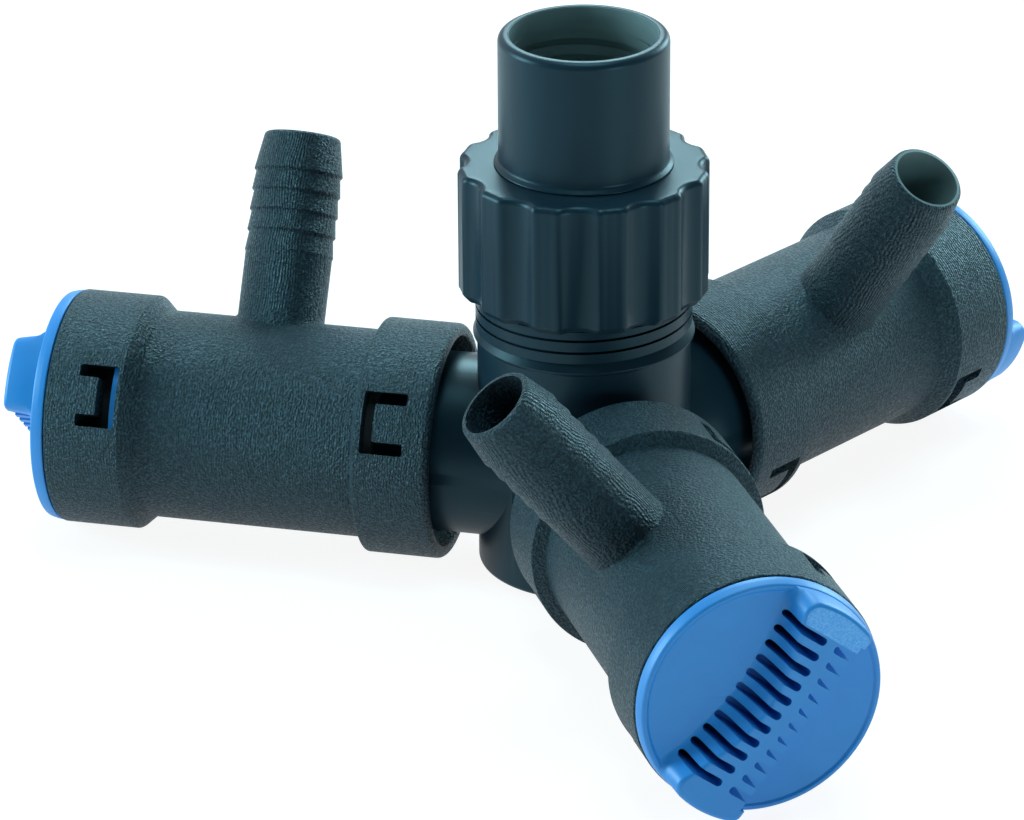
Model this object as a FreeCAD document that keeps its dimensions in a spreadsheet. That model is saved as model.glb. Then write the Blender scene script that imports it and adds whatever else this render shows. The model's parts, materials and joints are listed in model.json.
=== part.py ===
import FreeCAD, Part

import os

import Sketcher

doc = FreeCAD.newDocument("water_distributor")

# Driving dimensions in millimetres, degrees where the note says so.
# A "reach" is a distance from the inlet axis, measured outwards along a branch.
SIZES = [
    ("axis_height", 24.8, "branch axes above the body's flat underside"),
    ("body_dia", 46.6, "central body"),
    ("body_floor", 3.0, "thickness of the closed bottom"),
    ("shoulder_height", 56.4, "where the threaded neck starts"),
    ("neck_dia", 44.8, "neck, at the root of its thread"),
    ("neck_bore_dia", 37.0, "water way through the neck and body"),
    ("neck_height", 86.4, "top of the neck"),
    ("stub_dia", 40.0, "branch stub"),
    ("stub_bore_dia", 31.0, "water way through a stub"),
    ("stub_reach", 54.0, "end of a stub"),
    ("mouth_reach", 29.3, "open mouth of a valve barrel"),
    ("barrel_length", 87.3, "valve barrel, mouth to outer end"),
    ("barrel_dia", 46.4, "valve barrel between its collars"),
    ("barrel_wall", 2.8, "wall of the barrel and of its collars"),
    ("collar_dia", 52.4, "both collars"),
    ("inner_collar", 16.9, "length of the collar at the mouth"),
    ("inner_bevel", 1.6, "length of that collar's sloping shoulder"),
    ("outer_collar", 17.0, "length of the collar at the knob"),
    ("outer_bevel", 3.2, "length of that collar's sloping shoulder"),
    ("tongue_width", 8.4, "snap tongue, across"),
    ("tongue_gap", 2.7, "slot round a snap tongue"),
    ("inner_tongue", 6.9, "length of the tongue at the mouth"),
    ("inner_root", 5.8, "mouth to the root of that tongue"),
    ("outer_tongue", 4.5, "length of the tongue at the knob"),
    ("outer_root", 7.2, "barrel's outer end to the root of that tongue"),
    ("outer_gap", 4.4, "slot across the tip of that tongue"),
    ("tail_station", 42.8, "mouth to the hose tail's axis"),
    ("tail_length", 65.2, "hose tail's tip from the branch axis"),
    ("tail_stem", 36.6, "end of the tail's plain stem from the branch axis"),
    ("tail_stem_dia", 19.6, "plain stem of the hose tail"),
    ("tail_dia", 19.0, "barbed end of the hose tail, at the mean of its barbs"),
    ("tail_bore_dia", 14.8, "water way through the hose tail"),
    ("seal_length", 2.8, "room for the seal ring at the bottom of the socket"),
    ("running_gap", 0.3, "play between pieces that turn on each other"),
    ("knob_dia", 51.2, "regulator disc"),
    ("knob_rim", 3.0, "thickness of the regulator disc"),
    ("plug_play", 0.6, "gap between the plug and the tip of the tongue that holds it"),
    ("plug_width", 6.0, "round of the regulator that closes the barrel, along the branch"),
    ("stem_width", 16.0, "square stem between that round and the disc, clear of the tongues"),
    ("shutter_depth", 5.0, "shutter blade at its thickest"),
    ("grip_height", 6.6, "grip bar above the disc's face"),
    ("grip_back", 9.0, "steep side of the grip from the knob's axis"),
    ("grip_front", 6.2, "foot of the sloping side from the knob's axis"),
    ("grip_crest", 4.8, "top of the sloping side from the knob's axis"),
    ("grip_foot_reach", 2.3, "spread of the grip's foot on the disc's face"),
    ("grip_foot_height", 1.6, "height of that foot"),
    ("grip_crest_edge", 0.9, "bevel at the top of the sloping side"),
    ("grip_end_dia", 50.4, "circle that the grip's ends lie on"),
    ("slot_pitch", 3.58, "spacing of the grip's slots"),
    ("slot_count", 11, "slots on each side of the grip"),
    ("slot_width", 1.6, "width of a slot"),
    ("slot_sink", 1.4, "depth of the long slots below the disc's face"),
    ("slot_corner", 0.5, "bevel of a slot's closed end"),
    ("spine_front", 0.2, "long slots end here, behind the knob's axis"),
    ("spine_width", 2.3, "web left between long and short slots"),
    ("nut_dia", 54.8, "union nut over its lobes"),
    ("nut_height", 29.4, "union nut"),
    ("nut_bore_dia", 48.2, "union nut, at the root of its thread"),
    ("nut_collar", 4.0, "inward collar at the nut's top"),
    ("flute_count", 12, "flutes round the nut"),
    ("flute_dia", 13.0, "round of a flute"),
    ("flute_depth", 1.7, "depth of a flute"),
    ("adapter_flange", 4.0, "flange that the nut clamps"),
    ("adapter_flange_dia", 46.0, "that flange, across"),
    ("tube_dia", 36.9, "inlet tube"),
    ("tube_height", 124.0, "rim of the inlet tube"),
    ("inlet_bore_dia", 31.0, "inlet, at the crests of its 1 inch pipe thread"),
]

# Each branch: direction round the inlet axis, lean of its hose tail and turn of its knob, in degrees.
BRANCHES = {
    "left": (150.0, 31.2, 10.8),
    "front": (-90.0, 39.9, 12.7),
    "right": (30.0, 34.3, -6.0),
}

# Turn of the union nut's flutes about the inlet axis, in degrees.
NUT_TURN = 10.5

sheet = doc.addObject("Spreadsheet::Sheet", "Dims")
for row, (alias, value, note) in enumerate(SIZES, start=1):
    sheet.set(f"A{row}", str(value))
    sheet.set(f"B{row}", note)
    sheet.setAlias(f"A{row}", alias)
doc.recompute()

# Places that several pieces share, as expressions of the sheet.
AXIS = "Dims.axis_height"
MOUTH = "Dims.mouth_reach"
BARREL_END = "(Dims.mouth_reach + Dims.barrel_length)"
COLLAR_R = "Dims.collar_dia / 2"
BARREL_R = "Dims.barrel_dia / 2"
SOCKET_R = "(Dims.collar_dia / 2 - Dims.barrel_wall)"
BORE_R = "(Dims.barrel_dia / 2 - Dims.barrel_wall)"
INNER_TIP = "(Dims.mouth_reach + Dims.inner_root + Dims.inner_tongue)"
OUTER_TIP = "(Dims.mouth_reach + Dims.barrel_length - Dims.outer_root - Dims.outer_tongue)"
SEAL_END = f"({INNER_TIP} + Dims.running_gap + Dims.seal_length)"
SOCKET_END = f"({SEAL_END} + Dims.running_gap)"
PLUG_FOOT = "(Dims.stub_reach + Dims.running_gap)"
PLUG_END = f"({OUTER_TIP} - Dims.plug_play)"
PLUG_START = f"({PLUG_END} - Dims.plug_width)"
PLUG_R = f"({BORE_R} - Dims.running_gap)"
DISC_BACK = f"({BARREL_END} + Dims.running_gap)"
FACE = f"({DISC_BACK} + Dims.knob_rim)"
ADAPTER_TOP = "(Dims.neck_height + Dims.adapter_flange)"
NUT_TOP = f"({ADAPTER_TOP} + Dims.nut_collar)"
NUT_BOTTOM = f"({NUT_TOP} - Dims.nut_height)"
GRIP_FOOT = "(Dims.grip_front + Dims.grip_foot_reach)"
SPINE_BACK = "(-Dims.spine_front - Dims.spine_width)"
NUT_HOLE_R = "(Dims.tube_dia / 2 + Dims.running_gap)"


def new_body(label):
    """An empty body whose label names its file."""
    body = doc.addObject("PartDesign::Body", label)
    body.Label = label
    return body


def origin_feature(body, role):
    """The body's own origin plane or axis with this role."""
    return next(item for item in body.Origin.OriginFeatures if item.Role == role)


def new_sketch(body, name, role, lift=None):
    """A sketch on one of the body's origin planes, raised along its normal where lift is given."""
    sketch = body.newObject("Sketcher::SketchObject", f"{body.Name}_{name}")
    sketch.AttachmentSupport = (origin_feature(body, role), [""])
    sketch.MapMode = "FlatFace"
    if lift:
        sketch.setExpression("AttachmentOffset.Base.z", lift)
    return sketch


def tie_point(sketch, geometry, point, spot, x, y):
    """Hold one point of a line or circle at two expressions from the sketch's origin."""
    for kind, axis, value, text in (("DistanceX", -2, spot.x, x), ("DistanceY", -1, spot.y, y)):
        if abs(value) < 1e-9:
            sketch.addConstraint(Sketcher.Constraint("PointOnObject", geometry, point, axis))
        else:
            held = sketch.addConstraint(Sketcher.Constraint(kind, -1, 1, geometry, point, value))
            sketch.setExpression(f"Constraints[{held}]", text)


def outline(sketch, corners):
    """A closed outline of straight lines through corners given as pairs of expressions."""
    spots = [FreeCAD.Vector(sketch.evalExpression(x), sketch.evalExpression(y), 0) for x, y in corners]
    ends = spots[1:] + spots[:1]
    lines = [sketch.addGeometry(Part.LineSegment(a, b)) for a, b in zip(spots, ends)]
    for i, (x, y) in enumerate(corners):
        sketch.addConstraint(Sketcher.Constraint("Coincident", lines[i - 1], 2, lines[i], 1))
        tie_point(sketch, lines[i], 1, spots[i], x, y)
    return sketch


def ring(sketch, x, y, radius):
    """A circle held at two expressions, with its radius tied to a third."""
    centre = FreeCAD.Vector(sketch.evalExpression(x), sketch.evalExpression(y), 0)
    size = sketch.evalExpression(radius)
    circle = sketch.addGeometry(Part.Circle(centre, FreeCAD.Vector(0, 0, 1), size))
    tie_point(sketch, circle, 3, centre, x, y)
    held = sketch.addConstraint(Sketcher.Constraint("Radius", circle, size))
    sketch.setExpression(f"Constraints[{held}]", radius)
    return sketch


def turned(body, kind, sketch, axis="V_Axis"):
    """A Revolution or Groove of a sketch, all the way round one of the sketch's own axes."""
    feature = body.newObject(f"PartDesign::{kind}", f"{sketch.Name}_{kind.lower()}")
    feature.Profile = sketch
    feature.ReferenceAxis = (sketch, [axis])
    feature.Angle = 360
    doc.recompute()
    return feature


def extruded(body, kind, sketch, length=None, side="One side", reverse=False):
    """A Pad or Pocket of a sketch, through everything where no length is given."""
    feature = body.newObject(f"PartDesign::{kind}", f"{sketch.Name}_{kind.lower()}")
    feature.Profile = sketch
    feature.SideType = side
    feature.Reversed = reverse
    if length:
        feature.setExpression("Length", length)
    else:
        feature.Type = "ThroughAll"
    doc.recompute()
    return feature


def round_pattern(body, feature, count):
    """Copies of a feature spread evenly round the body's Z axis."""
    pattern = body.newObject("PartDesign::PolarPattern", f"{feature.Name}_pattern")
    pattern.Originals = [feature]
    pattern.Axis = (origin_feature(body, "Z_Axis"), [""])
    pattern.Angle = 360
    pattern.setExpression("Occurrences", count)
    body.Tip = pattern
    doc.recompute()
    return pattern


def row_pattern(body, feature, axis, pitch, count):
    """Copies of a feature in a row along one of the body's axes."""
    pattern = body.newObject("PartDesign::LinearPattern", f"{feature.Name}_pattern")
    pattern.Originals = [feature]
    pattern.Direction = (origin_feature(body, axis), [""])
    pattern.setExpression("Length", f"{pitch} * ({count} - 1)")
    pattern.setExpression("Occurrences", count)
    body.Tip = pattern
    doc.recompute()
    return pattern


def on_branch(body, branch, knob=False):
    """Stand a body that was drawn along Z on its branch: Z outwards, X along the hose tail."""
    direction, lean, turn = BRANCHES[branch]
    upright = FreeCAD.Rotation(
        FreeCAD.Vector(0, 0, 1), FreeCAD.Vector(0, -1, 0), FreeCAD.Vector(1, 0, 0), "ZXY"
    )
    swing = FreeCAD.Rotation(FreeCAD.Vector(0, 0, 1), direction)
    roll = FreeCAD.Rotation(FreeCAD.Vector(0, 0, 1), lean + (turn if knob else 0))
    body.Placement = FreeCAD.Placement(FreeCAD.Vector(), swing * upright * roll)
    body.setExpression("Placement.Base.z", AXIS)


def make_body():
    """The one-piece body: closed cup, threaded neck and three stubs that the barrels turn on."""
    body = new_body("distributor_body")
    shell = outline(
        new_sketch(body, "shell", "XZ_Plane"),
        [
            ("0", "0"),
            ("Dims.body_dia / 2", "0"),
            ("Dims.body_dia / 2", "Dims.shoulder_height"),
            ("Dims.neck_dia / 2", "Dims.shoulder_height"),
            ("Dims.neck_dia / 2", "Dims.neck_height"),
            ("0", "Dims.neck_height"),
        ],
    )
    turned(body, "Revolution", shell)
    stub = ring(new_sketch(body, "stub", "XZ_Plane"), "0", AXIS, "Dims.stub_dia / 2")
    round_pattern(body, extruded(body, "Pad", stub, "Dims.stub_reach"), str(len(BRANCHES)))
    cavity = outline(
        new_sketch(body, "cavity", "XZ_Plane"),
        [
            ("0", "Dims.body_floor"),
            ("Dims.neck_bore_dia / 2", "Dims.body_floor"),
            ("Dims.neck_bore_dia / 2", "Dims.neck_height"),
            ("0", "Dims.neck_height"),
        ],
    )
    turned(body, "Groove", cavity)
    bore = ring(new_sketch(body, "bore", "XZ_Plane"), "0", AXIS, "Dims.stub_bore_dia / 2")
    cut = extruded(body, "Pocket", bore, "Dims.stub_reach", reverse=True)
    round_pattern(body, cut, str(len(BRANCHES)))
    return body


def make_nut():
    """The fluted union nut with the inward collar that clamps the inlet adapter."""
    body = new_body("union_nut")
    section = outline(
        new_sketch(body, "section", "XZ_Plane"),
        [
            (NUT_HOLE_R, ADAPTER_TOP),
            ("Dims.nut_bore_dia / 2", ADAPTER_TOP),
            ("Dims.nut_bore_dia / 2", NUT_BOTTOM),
            ("Dims.nut_dia / 2", NUT_BOTTOM),
            ("Dims.nut_dia / 2", NUT_TOP),
            (NUT_HOLE_R, NUT_TOP),
        ],
    )
    turned(body, "Revolution", section)
    flute = ring(
        new_sketch(body, "flute", "XY_Plane"),
        "Dims.nut_dia / 2 - Dims.flute_depth + Dims.flute_dia / 2",
        "0",
        "Dims.flute_dia / 2",
    )
    round_pattern(body, extruded(body, "Pocket", flute, side="Symmetric"), "Dims.flute_count")
    body.Placement.Rotation = FreeCAD.Rotation(FreeCAD.Vector(0, 0, 1), NUT_TURN)
    return body


def make_adapter():
    """The inlet tube with its clamped flange and threaded mouth."""
    body = new_body("inlet_adapter")
    section = outline(
        new_sketch(body, "section", "XZ_Plane"),
        [
            ("Dims.inlet_bore_dia / 2", "Dims.neck_height"),
            ("Dims.adapter_flange_dia / 2", "Dims.neck_height"),
            ("Dims.adapter_flange_dia / 2", ADAPTER_TOP),
            ("Dims.tube_dia / 2", ADAPTER_TOP),
            ("Dims.tube_dia / 2", "Dims.tube_height"),
            ("Dims.inlet_bore_dia / 2", "Dims.tube_height"),
        ],
    )
    turned(body, "Revolution", section)
    return body


def snap_slot(sketch, root, tip, across):
    """The slot round three sides of a snap tongue, root to tip, with its own gap across the tip."""
    outline(
        sketch,
        [
            ("-Dims.tongue_width / 2 - Dims.tongue_gap", root),
            ("-Dims.tongue_width / 2", root),
            ("-Dims.tongue_width / 2", tip),
            ("Dims.tongue_width / 2", tip),
            ("Dims.tongue_width / 2", root),
            ("Dims.tongue_width / 2 + Dims.tongue_gap", root),
            ("Dims.tongue_width / 2 + Dims.tongue_gap", across),
            ("-Dims.tongue_width / 2 - Dims.tongue_gap", across),
        ],
    )


def make_barrel(branch):
    """A valve barrel with its hose tail: it snaps on a stub and holds the regulator."""
    body = new_body(f"valve_barrel_{branch}")
    skin = outline(
        new_sketch(body, "skin", "XZ_Plane"),
        [
            ("0", MOUTH),
            (COLLAR_R, MOUTH),
            (COLLAR_R, f"{MOUTH} + Dims.inner_collar"),
            (BARREL_R, f"{MOUTH} + Dims.inner_collar + Dims.inner_bevel"),
            (BARREL_R, f"{BARREL_END} - Dims.outer_collar - Dims.outer_bevel"),
            (COLLAR_R, f"{BARREL_END} - Dims.outer_collar"),
            (COLLAR_R, BARREL_END),
            ("0", BARREL_END),
        ],
    )
    turned(body, "Revolution", skin)
    station = f"{MOUTH} + Dims.tail_station"
    tail = new_sketch(body, "tail", "XZ_Plane")
    tail.setExpression("AttachmentOffset.Base.y", station)
    outline(
        tail,
        [
            ("0", "0"),
            ("Dims.tail_length", "0"),
            ("Dims.tail_length", "Dims.tail_dia / 2"),
            ("Dims.tail_stem", "Dims.tail_dia / 2"),
            ("Dims.tail_stem", "Dims.tail_stem_dia / 2"),
            ("0", "Dims.tail_stem_dia / 2"),
        ],
    )
    turned(body, "Revolution", tail, "H_Axis")
    bores = outline(
        new_sketch(body, "bores", "XZ_Plane"),
        [
            ("0", MOUTH),
            (SOCKET_R, MOUTH),
            (SOCKET_R, SOCKET_END),
            (BORE_R, SOCKET_END),
            (BORE_R, BARREL_END),
            ("0", BARREL_END),
        ],
    )
    turned(body, "Groove", bores)
    port = new_sketch(body, "port", "XZ_Plane")
    port.setExpression("AttachmentOffset.Base.y", station)
    outline(
        port,
        [
            ("0", "0"),
            ("Dims.tail_length", "0"),
            ("Dims.tail_length", "Dims.tail_bore_dia / 2"),
            ("0", "Dims.tail_bore_dia / 2"),
        ],
    )
    turned(body, "Groove", port, "H_Axis")
    slots = new_sketch(body, "slots", "XZ_Plane")
    snap_slot(slots, f"{MOUTH} + Dims.inner_root", INNER_TIP, f"{INNER_TIP} + Dims.tongue_gap")
    snap_slot(slots, f"{BARREL_END} - Dims.outer_root", OUTER_TIP, f"{OUTER_TIP} - Dims.outer_gap")
    extruded(body, "Pocket", slots, side="Symmetric")
    on_branch(body, branch)
    return body


def make_knob(branch):
    """A regulator: disc with slotted grip outside, round plug and shutter blade inside the barrel."""
    body = new_body(f"regulator_knob_{branch}")
    plug = ring(new_sketch(body, "plug", "XY_Plane", PLUG_FOOT), "0", "0", PLUG_R)
    extruded(body, "Pad", plug, f"{PLUG_END} - {PLUG_FOOT}")
    stem = outline(
        new_sketch(body, "stem", "XY_Plane", PLUG_END),
        [
            ("-Dims.stem_width / 2", "-Dims.stem_width / 2"),
            ("Dims.stem_width / 2", "-Dims.stem_width / 2"),
            ("Dims.stem_width / 2", "Dims.stem_width / 2"),
            ("-Dims.stem_width / 2", "Dims.stem_width / 2"),
        ],
    )
    extruded(body, "Pad", stem, f"{DISC_BACK} - {PLUG_END}")
    disc = ring(new_sketch(body, "disc", "XY_Plane", DISC_BACK), "0", "0", "Dims.knob_dia / 2")
    extruded(body, "Pad", disc, "Dims.knob_rim")
    waterway = outline(
        new_sketch(body, "waterway", "XZ_Plane"),
        [
            (f"-{BORE_R}", "Dims.stub_reach"),
            (f"{PLUG_R} - Dims.shutter_depth", "Dims.stub_reach"),
            (f"{PLUG_R} - Dims.shutter_depth", PLUG_START),
            (f"-{BORE_R}", PLUG_START),
        ],
    )
    extruded(body, "Pocket", waterway, side="Symmetric")
    bar = outline(
        new_sketch(body, "bar", "XZ_Plane"),
        [
            ("-Dims.grip_back", FACE),
            (GRIP_FOOT, FACE),
            ("Dims.grip_front", f"{FACE} + Dims.grip_foot_height"),
            ("Dims.grip_crest", f"{FACE} + Dims.grip_height - Dims.grip_crest_edge"),
            ("Dims.grip_crest - Dims.grip_crest_edge", f"{FACE} + Dims.grip_height"),
            ("-Dims.grip_back", f"{FACE} + Dims.grip_height"),
        ],
    )
    extruded(body, "Pad", bar, "Dims.grip_end_dia", side="Symmetric")
    ends = outline(
        new_sketch(body, "ends", "XZ_Plane"),
        [
            ("Dims.grip_end_dia / 2", FACE),
            ("Dims.knob_dia", FACE),
            ("Dims.knob_dia", f"{FACE} + 2 * Dims.grip_height"),
            ("Dims.grip_end_dia / 2", f"{FACE} + 2 * Dims.grip_height"),
        ],
    )
    turned(body, "Groove", ends)
    half_row = "Dims.slot_pitch * (Dims.slot_count - 1) / 2"
    cuts = {
        "long": ("-Dims.spine_front", GRIP_FOOT, 1, "Dims.grip_height + Dims.slot_sink"),
        "short": (SPINE_BACK, "-Dims.grip_back - Dims.slot_width", -1, "Dims.grip_height"),
    }
    for name, (closed, open_end, way, depth) in cuts.items():
        bevel_end = f"{closed} + {way} * Dims.slot_corner"
        slot = outline(
            new_sketch(body, f"{name}_slot", "XY_Plane", f"{FACE} + Dims.grip_height"),
            [
                (closed, f"-{half_row} - Dims.slot_width / 2 + Dims.slot_corner"),
                (bevel_end, f"-{half_row} - Dims.slot_width / 2"),
                (open_end, f"-{half_row} - Dims.slot_width / 2"),
                (open_end, f"-{half_row} + Dims.slot_width / 2"),
                (bevel_end, f"-{half_row} + Dims.slot_width / 2"),
                (closed, f"-{half_row} + Dims.slot_width / 2 - Dims.slot_corner"),
            ],
        )
        cut = extruded(body, "Pocket", slot, depth)
        row_pattern(body, cut, "Y_Axis", "Dims.slot_pitch", "Dims.slot_count")
    on_branch(body, branch, knob=True)
    return body


pieces = [make_body(), make_adapter(), make_nut()]
for branch in BRANCHES:
    pieces += [make_barrel(branch), make_knob(branch)]
doc.recompute()

for item in doc.Objects:
    if "Invalid" in item.State or "Error" in item.State:
        raise RuntimeError(f"{item.Label} failed: {item.State}")
for piece in pieces:
    if piece.Shape.isNull() or not piece.Shape.isValid() or len(piece.Shape.Solids) != 1:
        raise RuntimeError(f"{piece.Label} has no single valid solid")

os.makedirs("parts", exist_ok=True)
for piece in pieces:
    piece.Shape.exportStep(f"parts/{piece.Label}.step")
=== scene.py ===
import json
import math
from functools import partial

import bmesh
import bpy
from mathutils import Matrix, Vector


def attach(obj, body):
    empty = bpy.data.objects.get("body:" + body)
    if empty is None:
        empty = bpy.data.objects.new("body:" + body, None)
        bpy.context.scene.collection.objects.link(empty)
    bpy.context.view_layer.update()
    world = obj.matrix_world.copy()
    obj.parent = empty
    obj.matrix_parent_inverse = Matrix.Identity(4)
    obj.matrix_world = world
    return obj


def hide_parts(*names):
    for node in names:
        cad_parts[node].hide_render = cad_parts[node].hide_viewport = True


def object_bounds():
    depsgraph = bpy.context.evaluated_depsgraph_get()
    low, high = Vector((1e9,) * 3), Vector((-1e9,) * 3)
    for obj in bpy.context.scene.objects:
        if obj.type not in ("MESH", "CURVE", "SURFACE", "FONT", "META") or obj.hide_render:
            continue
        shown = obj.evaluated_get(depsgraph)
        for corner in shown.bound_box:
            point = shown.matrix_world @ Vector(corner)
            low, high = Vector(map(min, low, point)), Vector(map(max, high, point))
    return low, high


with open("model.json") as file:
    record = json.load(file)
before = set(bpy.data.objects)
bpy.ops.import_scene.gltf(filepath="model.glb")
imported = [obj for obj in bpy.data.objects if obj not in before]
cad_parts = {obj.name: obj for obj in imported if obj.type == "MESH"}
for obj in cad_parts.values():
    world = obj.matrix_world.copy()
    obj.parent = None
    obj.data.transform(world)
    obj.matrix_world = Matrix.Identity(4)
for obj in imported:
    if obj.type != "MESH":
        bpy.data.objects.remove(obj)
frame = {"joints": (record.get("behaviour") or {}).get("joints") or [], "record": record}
CAD_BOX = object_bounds()

# Sizes in millimetres. A branch piece is drawn along its own Z, outwards from the inlet axis,
# with its own X along the hose tail; a "reach" is a distance from the inlet axis along Z.
MM = 0.001
MOUTH, BARREL_END = 29.3, 116.6
BARREL_R, COLLAR_R, WALL = 23.2, 26.2, 2.8
SOCKET_R, BORE_R = COLLAR_R - WALL, BARREL_R - WALL
INNER_COLLAR, INNER_BEVEL = 16.9, 1.1
OUTER_COLLAR, OUTER_BEVEL = 17.0, 3.2
SOCKET_END = 45.4
TONGUE, TONGUE_GAP = 8.4, 2.7
INNER_ROOT, INNER_TIP = MOUTH + 5.8, MOUTH + 12.7
OUTER_ROOT, OUTER_TIP, OUTER_GAP = BARREL_END - 7.2, BARREL_END - 11.7, 4.4
STUB_R, STUB_ROOT, STUB_END = 20.0, 10.0, 54.0
STUB_BORE_R, STUB_BORE_ROOT = 15.5, 4.0
SEAL_START, SEAL_END = 42.3, 45.1
TAIL_STATION, TAIL_END = 72.1, 65.2
TAIL_R, TAIL_BORE_R, TAIL_FILLET = 9.75, 7.4, 0.7
BARB_COUNT, BARB_PITCH, BARB_R, BARB_DEPTH = 5, 4.6, 9.95, 0.45
TIP_LENGTH, TIP_R = 8.6, 8.7
PORT_START, PORT_END = 15.0, 70.0
RUNNING_GAP = 0.3
# The pinhole on the axis of a turned solid, and half the length of a cut right through a barrel.
PINHOLE_R, CLEAR = 0.01, 40.0
KNOB_R, KNOB_RIM, KNOB_BEAD, KNOB_DISH = 25.6, 3.0, 0.9, 0.45
DISC_BACK = BARREL_END + RUNNING_GAP
FACE = DISC_BACK + KNOB_RIM
PLUG_R, PLUG_START, PLUG_END = BORE_R - RUNNING_GAP, OUTER_TIP - 6.6, OUTER_TIP - 0.6
RING_R, RING_START, RING_END = 23.9, OUTER_TIP - OUTER_GAP + 0.1, OUTER_TIP - OUTER_GAP + 1.8
SHUTTER, STEM_WIDTH = 5.0, 16.0
GRIP_HEIGHT, GRIP_BACK, GRIP_BACK_END, GRIP_END_R = 6.6, 7.5, 8.8, 25.0
CREST_WAIST, CREST_FLARE, FLARE_REACH, FLARE_POWER = 1.4, 4.1, 16.0, 1.6
SLOPE_RUN, SLOPE_SPREAD, SLOPE_HALF = 1.4, 2.0, 18.0
# Where the frosted pad at one end of the grip begins, along the grip.
PAD_EDGE = -19.4
SLOT_PITCH, SLOT_COUNT, ROW_BOW = 3.58, 11, 1.9
SLOT_WIDTH, SLOT_SINK, SLOT_FOOT = 1.8, 5.0, 8.6
SPINE_FRONT, SPINE_WIDTH = 0.2, 2.3
BODY_R, BODY_FLOOR, SHOULDER = 23.3, 3.0, 56.4
NECK_R, NECK_TOP, NECK_BORE_R = 22.4, 86.4, 18.5
NUT_R, NUT_BOTTOM, NUT_TOP, NUT_BORE_R, NUT_HOLE_R = 27.4, 65.0, 94.4, 24.1, 18.75
FLUTES, FLUTE_R, FLUTE_DEPTH, FLUTE_TURN = 12, 6.5, 1.7, math.radians(10.5)
FLANGE_R, FLANGE_TOP = 23.0, 90.4
TUBE_R, TUBE_TOP, INLET_R = 18.45, 124.0, 15.5
NECK_PITCH, NECK_TURNS, INLET_PITCH, INLET_TURNS = 2.8, 9.6, 3.7, 7.8
# Turn of each knob from its hose tail, in degrees.
KNOB_TURN = {"left": 10.8, "front": 12.7, "right": -6.0}
# Layers of the sintered barrels: really about 0.1 mm, drawn coarser so that they show.
LAYER, LAYER_WOBBLE = 0.6, 2.4
# Tint of the sheen on the black plastics, and of the studio's lamps.
SHEEN, LAMP = "#a8cfd8", "#b3e3ee"
# Edges sharper than this stay crisp.
CRISP = math.radians(32)


def linear(code):
    """Scene-linear colour of an sRGB hex value."""
    channels = [int(code[i : i + 2], 16) / 255 for i in (1, 3, 5)]
    return [c / 12.92 if c <= 0.04045 else ((c + 0.055) / 1.055) ** 2.4 for c in channels] + [1.0]


def feed(tree, target, inputs):
    """Give a node's inputs their values, or links from other nodes' sockets."""
    for key, value in inputs.items():
        if isinstance(value, bpy.types.NodeSocket):
            tree.links.new(value, target.inputs[key])
        else:
            target.inputs[key].default_value = value


def node(tree, kind, inputs=None, **settings):
    """A node with its settings and its inputs."""
    made = tree.nodes.new(kind)
    for key, value in settings.items():
        setattr(made, key, value)
    feed(tree, made, inputs or {})
    return made


def maths(tree, operation, *values):
    """The result of one sum on values or links."""
    return node(tree, "ShaderNodeMath", dict(enumerate(values)), operation=operation).outputs[0]


def noise(tree, place, scale, detail, roughness=0.5):
    """Fractal noise over a place."""
    inputs = {"Vector": place, "Scale": scale, "Detail": detail, "Roughness": roughness}
    return node(tree, "ShaderNodeTexNoise", inputs).outputs["Fac"]


def spread(tree, value, start, end, low=0.0, high=1.0, **settings):
    """A value's way from start to end, spread from low to high."""
    inputs = {"Value": value, "From Min": start, "From Max": end, "To Min": low, "To Max": high}
    return node(tree, "ShaderNodeMapRange", inputs, **settings).outputs["Result"]


def tint(tree, share, first, second):
    """A colour between two, each of them a hex value or a link."""
    a, b = [linear(end) if isinstance(end, str) else end for end in (first, second)]
    inputs = {"Factor": share, "A": a, "B": b}
    return node(tree, "ShaderNodeMix", inputs, data_type="RGBA").outputs["Result"]


def relief(tree, height, depth, strength=1.0):
    """The normal of a fine relief, its depth in millimetres."""
    inputs = {"Height": height, "Strength": strength, "Distance": depth * MM}
    return node(tree, "ShaderNodeBump", inputs).outputs["Normal"]


def drawn_place(tree):
    """A spot's place in its piece as drawn, in millimetres."""
    return node(tree, "ShaderNodeAttribute", attribute_name="place").outputs["Vector"]


def object_place(tree):
    """A spot's place in its object, in metres."""
    return node(tree, "ShaderNodeTexCoord").outputs["Object"]


def new_material(name):
    """An empty node material with its Principled shader."""
    made = bpy.data.materials.new(name)
    made.use_nodes = True
    return made, made.node_tree, made.node_tree.nodes["Principled BSDF"]


def sintered_nylon():
    """Black laser-sintered nylon: sandy grain, pale specks on the high grains and faint layer lines
    square to the barrel, which open into contour arcs on the tapering hose tail."""
    made, tree, shader = new_material("sintered_nylon_black")
    place = drawn_place(tree)
    grain = noise(tree, place, 1.7, 2.0, 0.6)
    patches = noise(tree, place, 0.09, 2.0)
    wobble = noise(tree, place, 0.12, 1.0)
    parts = node(tree, "ShaderNodeSeparateXYZ", {"Vector": place}).outputs
    bent = maths(tree, "MULTIPLY_ADD", wobble, LAYER_WOBBLE, parts["Z"])
    lines = maths(tree, "SINE", maths(tree, "MULTIPLY", bent, 2 * math.pi / LAYER))
    on_tail = spread(tree, parts["X"], BARREL_R + 0.5, BARREL_R + 2.0, 0.04, 0.1)
    height = maths(tree, "MULTIPLY_ADD", lines, on_tail, grain)
    base = tint(tree, patches, "#07111a", "#0c1b26")
    inputs = {
        "Base Color": tint(tree, spread(tree, grain, 0.46, 0.7), base, "#2c4453"),
        "Roughness": spread(tree, grain, 0.35, 0.65, 0.58, 0.3),
        "Normal": relief(tree, height, 0.8),
        "Specular IOR Level": 1.0,
        "Specular Tint": linear(SHEEN),
    }
    feed(tree, shader, inputs)
    return made


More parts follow.
